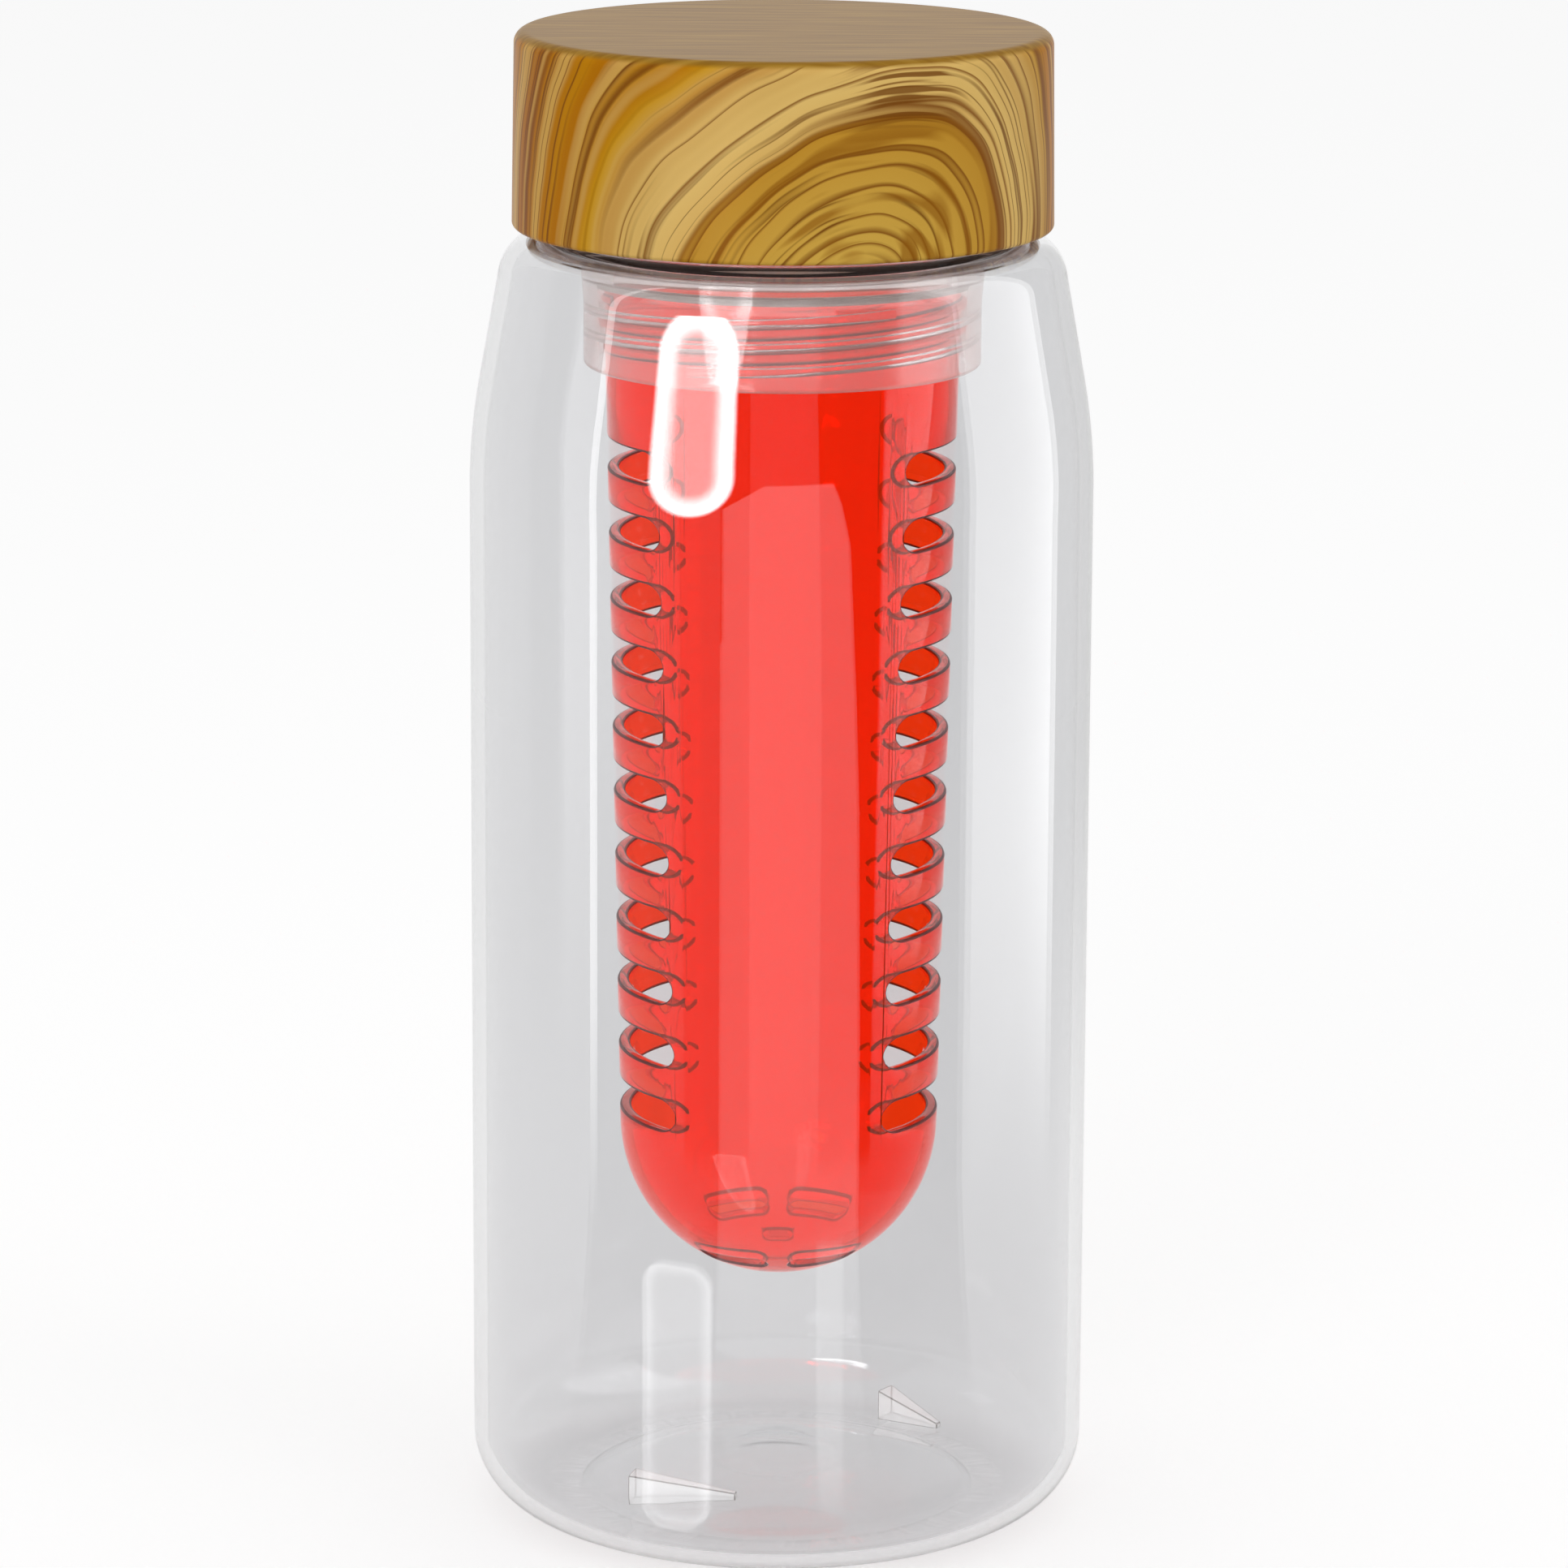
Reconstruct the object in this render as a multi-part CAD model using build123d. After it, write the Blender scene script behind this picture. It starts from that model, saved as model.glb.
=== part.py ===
from build123d import *
import os
from math import ceil, cos, radians, sin, tan

# Fruit infuser water bottle: a clear bottle, a screw lid with a wood-look cap, and a slotted
# basket that screws into the collar under the lid. Millimetres, +Z up. The origin is the centre
# of the ring that the bottle stands on, and the front of the bottle faces -Y.

# Bottle
body_radius = 40.0
body_wall = 1.8
straight_wall_top = 135.0
heel_radius = 9.7
foot_ring_width = 4.6
push_up_height = 3.0
push_up_crown_share = 0.72           # of its height, half way from the dimple to the foot ring
floor_thickness = 2.4
gate_dimple_radius = 8.6
gate_dimple_depth = 0.6

# Shoulder: a long arc, a straight slope, then a tight corner into the neck
shoulder_arc_radius = 80.0
shoulder_slope = 10.2                # degrees from upright
shoulder_slope_length = 14.2
shoulder_corner_radius = 6.0

# Neck, which the lid hides
neck_inset = 10.4                    # from the body's side in to the neck's outside
neck_wall = 1.6
neck_height = 20.8
neck_rim_rounding = 0.5

# Thread between the neck and the lid, with two starts
neck_thread_pitch = 4.0
neck_thread_starts = 2
neck_thread_depth = 1.4
neck_thread_climb = 8.0              # height that each ridge of the neck climbs
neck_thread_top_gap = 3.2            # from the rim down to the top of the ridges' centre line
lid_thread_climb = 8.4
lid_thread_foot_gap = 3.4            # from the skirt's foot up to its ridges' centre line

# Thread between the collar and the infuser, with two starts
basket_thread_pitch = 3.1
basket_thread_starts = 2
basket_thread_depth = 1.1
collar_thread_climb = 7.3
collar_thread_foot_gap = 2.1         # from the collar's mouth up to its ridges' centre line
collar_thread_front_height = 5.7     # centre line above the collar's mouth at the front
infuser_thread_climb = 6.4
infuser_thread_rim_gap = 1.7         # from the infuser's rim down to its ridges' centre line

# Ridges of all threads
ridge_root_share = 0.44              # of the pitch, at the root
ridge_crest_share = 0.20             # of the pitch, at the crest
ridge_run_out = 44.0                 # degrees over which a ridge rises from nothing
ridge_step = 22.0                    # degrees between the sections of a ridge, at most
ridge_run_out_share = 0.12           # of the ridge's depth that its very end keeps
ridge_bite = 0.25                    # how far a ridge's root reaches into its wall

# Clearances
thread_clearance = 0.3
collar_to_neck_gap = 2.6
glue_gap = 0.1
lid_to_shoulder_gap = 0.8

# Lid liner
skirt_wall = 1.1
liner_plate = 1.6
liner_edge_rounding = 0.5
liner_fillet = 0.6
collar_wall = 1.4
collar_length = 39.0
collar_seat_depth = 26.9             # from the liner's ceiling down to the infuser's seat
collar_seat_width = 2.2
collar_upper_wall = 1.6
collar_step_rise = 5.4               # from the seat up to where the collar gets slimmer outside
collar_mouth_rounding = 0.5
skirt_recess = 0.4                   # the skirt's foot stays this far inside the shell

# Lid shell
shell_wall = 2.0
shell_top = 1.8
shell_taper = 0.35                   # how much smaller its radius is at the top
shell_edge_rounding = 1.6
shell_foot_rounding = 0.6

# Silicone rings
lid_seal_thickness = 1.5
lid_seal_lap = 1.2                   # how far the ring reaches inwards past the neck's bore
seal_rounding = 0.3
infuser_seal_thickness = 1.2
infuser_seal_lap = 0.1               # how far the washer stays back from the seat's edge

# Infuser
infuser_wall = 1.5
infuser_draft = 1.08                 # degrees
infuser_straight_length = 10.3       # below the rim, where its thread is
infuser_floor_gap = 25.7             # from the bottle's floor up to the infuser's bottom
infuser_rim_rounding = 0.4
slot_pitch = 8.47
slot_height = 4.0
slot_half_width_share = 0.708        # of the infuser's radius at its rim
slot_collar_gap = 11.4               # from the collar's mouth down to the first slot's middle
slot_dome_gap = 3.7                  # from the dome's centre up to the last slot's middle
drain_width = 2.4
drain_ring_share = 0.57              # of the dome's radius
drain_span = 34.0                    # degrees
drain_offset = 30.0                  # degrees each side of the front and the back
small_drain_width = 1.8
small_drain_ring_share = 0.27        # of the dome's radius
small_drain_span = 22.0              # degrees

# Radii, from the body inwards
neck_radius = body_radius - neck_inset
neck_bore = neck_radius - neck_wall
neck_thread_crest = neck_radius + neck_thread_depth
skirt_bore = neck_thread_crest + thread_clearance
skirt_thread_crest = neck_radius + thread_clearance
skirt_radius = skirt_bore + skirt_wall
shell_bore = skirt_radius + glue_gap
shell_radius = shell_bore + shell_wall
collar_radius = neck_bore - collar_to_neck_gap
collar_bore = collar_radius - collar_wall
infuser_thread_crest = collar_bore - thread_clearance
infuser_radius = infuser_thread_crest - basket_thread_depth
collar_thread_crest = infuser_radius + thread_clearance
collar_seat_bore = collar_bore - collar_seat_width
collar_upper_radius = collar_seat_bore + collar_upper_wall

# Shoulder points, worked out along its outside
slope_cos = cos(radians(shoulder_slope))
slope_sin = sin(radians(shoulder_slope))
shoulder_arc_centre = body_radius - shoulder_arc_radius
slope_start_radius = shoulder_arc_centre + shoulder_arc_radius * slope_cos
slope_start_height = straight_wall_top + shoulder_arc_radius * slope_sin
slope_end_radius = slope_start_radius - shoulder_slope_length * slope_sin
slope_end_height = slope_start_height + shoulder_slope_length * slope_cos
corner_radius = min(shoulder_corner_radius, (slope_end_radius - neck_radius) / slope_cos)
corner_centre_radius = slope_end_radius - corner_radius * slope_cos
corner_centre_height = slope_end_height - corner_radius * slope_sin
corner_inner_radius = max(corner_radius - body_wall, corner_radius / 2)

# Heights, from the floor upwards
floor_top = push_up_height + floor_thickness
shoulder_top = corner_centre_height + corner_radius
neck_rim = shoulder_top + neck_height
ceiling = neck_rim + lid_seal_thickness
liner_top = ceiling + liner_plate
lid_top = liner_top + shell_top
shell_foot = shoulder_top + lid_to_shoulder_gap
skirt_foot = shell_foot + skirt_recess
collar_mouth = ceiling - collar_length
collar_seat = ceiling - collar_seat_depth
infuser_rim = collar_seat - infuser_seal_thickness
infuser_bottom = floor_top + infuser_floor_gap

# The tapered tube of the infuser and the ball that closes it
draft_cos = cos(radians(infuser_draft))
draft_sin = sin(radians(infuser_draft))
draft_tan = tan(radians(infuser_draft))
taper_top = infuser_rim - infuser_straight_length
radius_at_bottom = infuser_radius - (taper_top - infuser_bottom) * draft_tan
dome_radius = draft_cos * radius_at_bottom / (1 - draft_sin)
dome_centre = infuser_bottom + dome_radius

overrun = body_radius                # reach of the tools that cut the slots
touching = body_wall / 1e6           # points nearer than this are one point


def at(radius, height):
    return Vector(radius, 0, height)


def arc(centre, radius, first_angle, last_angle):
    """Arc in the profile's plane. Angles are in degrees, anticlockwise from outwards."""
    steps = [first_angle, (first_angle + last_angle) / 2, last_angle]
    points = [centre + at(radius * cos(radians(a)), radius * sin(radians(a))) for a in steps]
    return ThreePointArc(*points)


def chain(*pieces):
    """Closed profile of the given arcs and points, with straight edges between them."""
    edges = []
    first = None
    last = None
    for piece in pieces:
        start = piece if isinstance(piece, Vector) else piece @ 0
        end = piece if isinstance(piece, Vector) else piece @ 1
        if last is not None and (start - last).length > touching:
            edges.append(Line(last, start))
        if not isinstance(piece, Vector):
            edges.append(piece)
        first = start if first is None else first
        last = end
    edges.append(Line(last, first))
    return Face(Wire(edges))


def rounded(corners):
    """Closed profile through (radius, height, rounding) corners."""
    pieces = []
    count = len(corners)
    for i, (radius, height, rounding) in enumerate(corners):
        corner = at(radius, height)
        if not rounding:
            pieces.append(corner)
            continue
        before = (at(*corners[i - 1][:2]) - corner).normalized()
        after = (at(*corners[(i + 1) % count][:2]) - corner).normalized()
        half_angle = radians(before.get_angle(after)) / 2
        reach = rounding / tan(half_angle)
        inward = (before + after).normalized()
        middle = corner + inward * (rounding / sin(half_angle) - rounding)
        pieces.append(ThreePointArc(corner + before * reach, middle, corner + after * reach))
    return chain(*pieces)


def turned(profile):
    return revolve(profile, Axis.Z)


def ridge(root, crest, pitch, lead, phase_height, first_angle, last_angle):
    """One start of a thread on a wall of radius root. It rises to crest and fades at both ends."""
    bite = ridge_bite if crest < root else -ridge_bite
    count = max(4, ceil((last_angle - first_angle) / ridge_step))
    sections = []
    for i in range(count + 1):
        angle = first_angle + (last_angle - first_angle) * i / count
        from_end = min(angle - first_angle, last_angle - angle)
        full = min(1, ridge_run_out_share + from_end / ridge_run_out)
        height = phase_height + lead * angle / 360
        outward = Vector(cos(radians(angle)), sin(radians(angle)), 0)
        plane = Plane(
            origin=Vector(0, 0, height),
            x_dir=outward,
            z_dir=outward.cross(Vector(0, 0, 1)),
        )
        tip = root + (crest - root) * full
        half_root = pitch * ridge_root_share / 2
        half_tip = half_root + (pitch * ridge_crest_share / 2 - half_root) * full
        outline = Polyline(
            (root + bite, -half_root),
            (tip, -half_tip),
            (tip, half_tip),
            (root + bite, half_root),
            close=True,
        )
        sections.append(plane * outline)
    wires = [section.wire() for section in sections]
    return Solid.make_loft(wires)


def thread(root, crest, pitch, starts, phase_height, low, high):
    """All starts of a thread. phase_height is where the first one's centre line crosses +X."""
    lead = pitch * starts
    ridges = []
    for start in range(starts):
        first_angle = 360 * ((low - phase_height) / lead - start / starts)
        last_angle = first_angle + 360 * (high - low) / lead
        start_height = phase_height + pitch * start
        ridges.append(ridge(root, crest, pitch, lead, start_height, first_angle, last_angle))
    return ridges


def make_bottle_body():
    arc_centre = at(shoulder_arc_centre, straight_wall_top)
    corner_centre = at(corner_centre_radius, corner_centre_height)
    heel_centre = at(body_radius - heel_radius, heel_radius)
    foot_inner = body_radius - heel_radius - foot_ring_width
    crown_middle = (foot_inner + gate_dimple_radius) / 2
    crown_rise = push_up_height * push_up_crown_share
    underside = ThreePointArc(
        at(gate_dimple_radius, push_up_height), at(crown_middle, crown_rise), at(foot_inner, 0)
    )
    floor_crown = ThreePointArc(
        at(foot_inner, body_wall),
        at(crown_middle, crown_rise + (body_wall + floor_thickness) / 2),
        at(gate_dimple_radius, floor_top),
    )
    profile = chain(
        at(0, push_up_height + gate_dimple_depth),
        at(gate_dimple_radius, push_up_height + gate_dimple_depth),
        underside,
        arc(heel_centre, heel_radius, -90, 0),
        arc(arc_centre, shoulder_arc_radius, 0, shoulder_slope),
        arc(corner_centre, corner_radius, shoulder_slope, 90),
        at(neck_bore, shoulder_top),
        at(neck_bore, shoulder_top - body_wall),
        arc(corner_centre, corner_inner_radius, 90, shoulder_slope),
        arc(arc_centre, shoulder_arc_radius - body_wall, shoulder_slope, 0),
        arc(heel_centre, heel_radius - body_wall, 0, -90),
        floor_crown,
        at(0, floor_top),
    )
    return turned(profile)


def make_bottle_neck():
    """The threaded neck. It is one moulding with the body, and is kept apart for collision."""
    profile = chain(
        at(neck_radius, shoulder_top),
        at(neck_radius, neck_rim),
        at(neck_bore, neck_rim),
        at(neck_bore, shoulder_top),
    )
    neck = turned(profile)
    rim_edges = neck.edges().filter_by(GeomType.CIRCLE).group_by(Axis.Z)[-1]
    neck = fillet(rim_edges, min(neck_rim_rounding, neck_wall / 3))
    top = neck_rim - neck_thread_top_gap
    ridges = thread(
        neck_radius,
        neck_thread_crest,
        neck_thread_pitch,
        neck_thread_starts,
        top,
        top - neck_thread_climb,
        top,
    )
    return neck.fuse(*ridges)


def make_lid_shell():
    top_radius = shell_radius - shell_taper
    return turned(
        rounded(
            [
                (shell_bore, shell_foot, 0),
                (shell_radius, shell_foot, shell_foot_rounding),
                (top_radius, lid_top, shell_edge_rounding),
                (0, lid_top, 0),
                (0, liner_top, 0),
                (shell_bore, liner_top, 0),
            ]
        )
    )


def make_lid_liner():
    step = collar_seat + collar_step_rise
    step_run = collar_radius - collar_upper_radius
    liner = turned(
        rounded(
            [
                (0, liner_top, 0),
                (skirt_radius, liner_top, liner_edge_rounding),
                (skirt_radius, skirt_foot, liner_edge_rounding / 2),
                (skirt_bore, skirt_foot, liner_edge_rounding / 2),
                (skirt_bore, ceiling, 0),
                (collar_upper_radius, ceiling, liner_fillet),
                (collar_upper_radius, step + step_run, liner_fillet),
                (collar_radius, step, liner_fillet),
                (collar_radius, collar_mouth, collar_mouth_rounding),
                (collar_bore, collar_mouth, collar_mouth_rounding),
                (collar_bore, collar_seat, 0),
                (collar_seat_bore, collar_seat, 0),
                (collar_seat_bore, ceiling, liner_fillet),
                (0, ceiling, 0),
            ]
        )
    )
    neck_phase = neck_rim - neck_thread_top_gap + neck_thread_pitch / 2
    skirt_low = skirt_foot + lid_thread_foot_gap
    skirt_ridges = thread(
        skirt_bore,
        skirt_thread_crest,
        neck_thread_pitch,
        neck_thread_starts,
        neck_phase,
        skirt_low,
        skirt_low + lid_thread_climb,
    )
    collar_low = collar_mouth + collar_thread_foot_gap
    collar_ridges = thread(
        collar_bore,
        collar_thread_crest,
        basket_thread_pitch,
        basket_thread_starts,
        collar_phase(),
        collar_low,
        collar_low + collar_thread_climb,
    )
    return liner.fuse(*skirt_ridges, *collar_ridges)


def collar_phase():
    """Height where the collar's first ridge crosses +X, a quarter turn on from the front."""
    lead = basket_thread_pitch * basket_thread_starts
    return collar_mouth + collar_thread_front_height + lead / 4


def ring(inner, outer, low, high):
    return turned(
        rounded(
            [
                (inner, low, seal_rounding),
                (outer, low, seal_rounding),
                (outer, high, seal_rounding),
                (inner, high, seal_rounding),
            ]
        )
    )


def make_lid_seal():
    return ring(neck_bore - lid_seal_lap, skirt_bore - thread_clearance, neck_rim, ceiling)


def make_infuser_seal():
    return ring(
        collar_seat_bore + infuser_seal_lap,
        collar_bore - thread_clearance,
        infuser_rim,
        collar_seat,
    )


def infuser_shape(inset):
    """The infuser's solid form, open above its rim, with all its walls moved in by inset."""
    ball = dome_radius - inset
    joint_angle = -infuser_draft
    joint_radius = ball * draft_cos
    joint_height = dome_centre - ball * draft_sin
    side_radius = infuser_radius - inset
    climb = (side_radius - joint_radius) / draft_tan
    top = infuser_rim + inset
    return turned(
        chain(
            at(0, top),
            at(0, dome_centre - ball),
            arc(at(0, dome_centre), ball, -90, joint_angle),
            at(side_radius, joint_height + climb),
            at(side_radius, top),
        )
    )


def side_slots():
    """Tools for the rows of slots that run straight through both sides."""
    first = collar_mouth - slot_collar_gap
    last = dome_centre + slot_dome_gap
    count = max(2, round((first - last) / slot_pitch) + 1)
    spacing = (first - last) / (count - 1)
    half_width = infuser_radius * slot_half_width_share
    outline = SlotOverall(2 * half_width, slot_height, rotation=0)
    tools = []
    for i in range(count):
        place = Plane.YZ.offset(-overrun) * Pos(0, first - spacing * i)
        tools.append(extrude(place * outline, 2 * overrun))
    return tools


def drain_slot(ring_radius, middle, span, width):
    """Tool for one curved slot of the infuser's bottom, cut straight up."""
    line = CenterArc((0, 0), ring_radius, middle - span / 2, span)
    place = Plane.XY.offset(infuser_bottom)
    return extrude(place * SlotArc(line, width), dome_radius)


def drain_slots():
    """At the front and the back: two long slots and a short one between them, further in."""
    ring_radius = dome_radius * drain_ring_share
    small_ring_radius = dome_radius * small_drain_ring_share
    tools = []
    for side in (90, 270):
        for middle in (side - drain_offset, side + drain_offset):
            tools.append(drain_slot(ring_radius, middle, drain_span, drain_width))
        tools.append(drain_slot(small_ring_radius, side, small_drain_span, small_drain_width))
    return tools


def make_infuser():
    shell = infuser_shape(0) - infuser_shape(infuser_wall)
    basket = shell - (side_slots() + drain_slots())
    rim_edges = basket.edges().filter_by(GeomType.CIRCLE).group_by(Axis.Z)[-1]
    basket = fillet(rim_edges, infuser_rim_rounding)
    top = infuser_rim - infuser_thread_rim_gap
    ridges = thread(
        infuser_radius,
        infuser_thread_crest,
        basket_thread_pitch,
        basket_thread_starts,
        collar_phase() + basket_thread_pitch / 2,
        top - infuser_thread_climb,
        top,
    )
    return basket.fuse(*ridges)


def write(name, shape):
    solids = shape.solids()
    result = solids[0] if len(solids) == 1 else Compound(children=list(solids))
    export_step(result, "parts/" + name + ".step")
    box = result.bounding_box()
    print(name, len(solids), round(result.volume), box.min, box.max)


def main():
    os.makedirs("parts", exist_ok=True)
    write("bottle_body", make_bottle_body())
    write("bottle_neck", make_bottle_neck())
    write("lid_shell", make_lid_shell())
    write("lid_liner", make_lid_liner())
    write("lid_seal", make_lid_seal())
    write("infuser_seal", make_infuser_seal())
    write("infuser", make_infuser())


main()
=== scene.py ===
from math import acos, ceil, cos, pi, radians, sin, tan

import bpy
from mathutils import Matrix, Vector


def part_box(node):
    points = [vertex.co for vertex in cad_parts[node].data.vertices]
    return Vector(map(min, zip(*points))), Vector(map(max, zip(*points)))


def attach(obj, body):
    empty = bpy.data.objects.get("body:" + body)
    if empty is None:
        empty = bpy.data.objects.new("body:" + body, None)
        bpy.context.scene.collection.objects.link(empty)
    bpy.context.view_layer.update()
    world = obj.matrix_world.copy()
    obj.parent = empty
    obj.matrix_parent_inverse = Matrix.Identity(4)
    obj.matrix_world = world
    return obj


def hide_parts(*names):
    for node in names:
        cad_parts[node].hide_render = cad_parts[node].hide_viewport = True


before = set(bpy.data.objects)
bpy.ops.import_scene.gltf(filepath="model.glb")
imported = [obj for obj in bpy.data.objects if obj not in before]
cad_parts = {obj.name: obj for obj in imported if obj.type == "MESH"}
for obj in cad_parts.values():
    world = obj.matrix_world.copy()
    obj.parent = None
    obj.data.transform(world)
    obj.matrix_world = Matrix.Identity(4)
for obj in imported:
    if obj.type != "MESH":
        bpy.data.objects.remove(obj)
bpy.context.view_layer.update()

MM = 0.001

# Steps of the turned pieces and of the thread ridges
FINE_TURN = 256
PLAIN_TURN = 192
ARC_CHORD = 0.9                 # mm, longest step along a rounded part of an outline
BRACE = 0.5                     # mm, from a long stretch's end to its extra point
ARC_TURN = 9.0                  # degrees, most that an outline turns in one step
RIDGE_STEP = 6.0                # degrees between the sections of a thread ridge
RIDGE_BITE = 0.25               # mm that a ridge reaches into its wall
RIDGE_START = 0.12              # share of its height that a ridge starts with
RIDGE_FADE = 44.0               # degrees over which it grows to its full height
RIDGE_ROOT = 0.22               # half its width at the wall, as a share of the pitch
RIDGE_TIP = 0.10                # half its width at the crest
RIDGE_EDGE = 0.22               # mm, rounding of its edges
SAME_POINT = 1e-6               # m
SAME_EDGE = 0.03                # mm, ends of shorter edges are merged after the cuts
CREASE = radians(32)            # sharper edges stay sharp in the shading
BASE_STEPS = 12                 # points along the dimple's slope, and along the base

# Studio, in metres. The distances are from the bottle's axis.
LIGHT_AIM = Vector((0, 0, 0.1))
BOARD_COLUMNS = 8
SIDE = 0.15
SIDE_TOP = 0.40
LAMP = 0.19
FRONT = 0.21
FLAG = 0.215
FLAG_TOP = 0.24
WINDOW = 0.60
ROOM = 0.63
TABLE_SHEET = 0.0004            # height of the boards that lie on the table
LAMP_RIM_SHARES = (0.36, 0.84)  # of the corners' rounding, from the lamp's middle to its rim
LAMP_EDGE_SHARES = (0.86, 1.0)

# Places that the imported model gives, in millimetres
BODY_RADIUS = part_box("bottle_body")[1].x / MM
NECK_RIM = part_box("bottle_neck")[1].z / MM
SHELL_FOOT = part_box("lid_shell")[0].z / MM
LID_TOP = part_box("lid_shell")[1].z / MM
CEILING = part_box("lid_seal")[1].z / MM
LINER_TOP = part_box("lid_liner")[1].z / MM
COLLAR_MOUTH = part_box("lid_liner")[0].z / MM
COLLAR_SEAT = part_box("infuser_seal")[1].z / MM
INFUSER_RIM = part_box("infuser")[1].z / MM
INFUSER_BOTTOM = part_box("infuser")[0].z / MM

# Bottle, in millimetres
BODY_WALL = 1.8
STRAIGHT_TOP = 135.0            # height at which the shoulder starts
HEEL_RADIUS = 9.7
FOOT_RING = 4.6                 # width of the flat ring that the bottle stands on
PUSH_UP = 3.0                   # height of the base's underside at its dimple
PUSH_UP_SHARE = 0.72            # of that height, reached half way in from the ring
FLOOR_THICK = 2.4
DIMPLE_RADIUS = 8.6
DIMPLE_DEPTH = 0.10
DIMPLE_SLOPE = 4.5              # width of the dimple's sloping edge
SHOULDER_ARC = 80.0
SHOULDER_SLOPE = 10.2           # degrees from upright
SHOULDER_RUN = 14.2             # length of its straight part
SHOULDER_CORNER = 6.0
NECK_INSET = 10.4               # from the body's outside in to the neck's
NECK_WALL = 1.6
NECK_RIDGE = 1.4                # how far its thread stands out
NECK_RADIUS = BODY_RADIUS - NECK_INSET
NECK_BORE = NECK_RADIUS - NECK_WALL
NECK_CREST = NECK_RADIUS + NECK_RIDGE
NECK_EDGE = 0.5
NECK_PITCH = 4.0                # the lid's thread too
NECK_THREAD_DROP = 3.2          # from the rim down to its thread
NECK_THREAD_TOP = NECK_RIM - NECK_THREAD_DROP
NECK_THREAD_HEIGHT = 8.0
THREAD_STARTS = 2
THREAD_GAP = 0.3                # between a crest and the wall that it faces
LUG_FACES, LUG_EDGES = 1, 2     # places in the bottle's list of materials
LUG_EDGE = 0.16                 # rounding of a lug's edges
LUG_WIDE, LUG_THIN = 3.4, 1.0   # widths of a lug's two ends
# Each lug's place, the foot and top of its wide end and of its thin end, length and turn
LUGS = [
    ((18.5, 24.0), (1.7, 5.8), (1.7, 2.5), 9.0, -35),
    ((-12.0, -14.5), (2.2, 6.8), (4.1, 5.2), 14.0, -14),
]

# Lid, in millimetres
SKIRT_WALL = 1.1
SHELL_GAP = 0.1
SHELL_WALL = 2.0
SKIRT_BORE = NECK_CREST + THREAD_GAP
SKIRT_RADIUS = SKIRT_BORE + SKIRT_WALL
SKIRT_CREST = NECK_RADIUS + THREAD_GAP
SHELL_BORE = SKIRT_RADIUS + SHELL_GAP
SHELL_RADIUS = SHELL_BORE + SHELL_WALL
SHELL_TAPER = 0.35
SHELL_EDGE = 1.6
SHELL_FOOT_EDGE = 0.6
SHELL_CORNER = 0.3              # rounding at the top of its bore
SHELL_LIP = 0.15                # rounding at the foot of its bore
COLLAR_INSET = 2.6              # from the neck's bore in to the collar
COLLAR_WALL = 1.4
SEAT_WIDTH = 2.2                # of the step that the infuser's washer sits against
UPPER_WALL = 1.6                # of the narrower part above the step
COLLAR_RADIUS = NECK_BORE - COLLAR_INSET
COLLAR_BORE = COLLAR_RADIUS - COLLAR_WALL
SEAT_BORE = COLLAR_BORE - SEAT_WIDTH
UPPER_RADIUS = SEAT_BORE + UPPER_WALL
STEP_RISE = 5.4                 # from the washer's seat up to the collar's outer step
STEP_EDGE = 0.6
LINER_EDGE = 0.5
CEILING_EDGE = 0.3
SEAT_EDGE = 0.2
SKIRT_EDGE = 0.25
SKIRT_GAP = 0.4                 # from the shell's foot up to the skirt's
SKIRT_THREAD_RISE = 3.4         # from the skirt's foot up to its thread
SKIRT_THREAD_HEIGHT = 8.4
COLLAR_THREAD_RISE = 2.1        # from the collar's mouth up to its thread
COLLAR_THREAD_HEIGHT = 7.3
GASKET_LAP = 1.2                # how far the gasket reaches in past the neck's bore
WASHER_GAP = 0.1
GASKET_BORE = NECK_BORE - GASKET_LAP
WASHER_BORE = SEAT_BORE + WASHER_GAP
SEAL_EDGE = 0.3
SEAL_GAP = 0.02                 # keeps a seal's flat faces off its seats

# Infuser, in millimetres
INFUSER_RIDGE = 1.1             # how far its thread stands out
INFUSER_CREST = COLLAR_BORE - THREAD_GAP
INFUSER_RADIUS = INFUSER_CREST - INFUSER_RIDGE
COLLAR_CREST = INFUSER_RADIUS + THREAD_GAP
INFUSER_WALL = 1.5
INFUSER_PITCH = 3.1             # the collar's inner thread too
COLLAR_START = 5.7              # from the collar's mouth up to its thread, at the front
COLLAR_PHASE = COLLAR_MOUTH + COLLAR_START + INFUSER_PITCH * THREAD_STARTS / 4
INFUSER_THREAD_DROP = 1.7       # from the infuser's rim down to its thread
INFUSER_THREAD_HEIGHT = 6.4
RIM_EDGE = 0.4
DRAFT = 1.08                    # degrees that the basket narrows by on each side
STRAIGHT_LENGTH = 10.3          # from the rim down to where it starts to narrow
SLOT_COUNT = 11
SLOT_HEIGHT = 4.0
SLOT_HALF_WIDTH = 16.0
SLOT_ROUND_SHARE = 0.998        # of half the height: a full half would leave no flat end
SLOT_STEPS = 8
SLOT_EDGE = 0.30                # rounding of the slots' and drains' edges
EDGE_PLACE = 1                  # place of their painted dark red in the infuser's list of materials
TOP_SLOT_DROP = 11.4            # from the collar's mouth to the middle of the top slot
LOW_SLOT_RISE = 3.7             # of the lowest slot's middle, above the dome's centre
DRAIN_RING = 0.57               # of the dome's radius, and so on for the small ones
DRAIN_SPAN = 34.0               # degrees
DRAIN_WIDTH = 2.4
DRAIN_TURN = 30                 # degrees, from the front or back to a drain's middle
SMALL_DRAIN_RING = 0.27
SMALL_DRAIN_SPAN = 22.0
SMALL_DRAIN_WIDTH = 1.8
DRAIN_STEPS = 20
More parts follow.
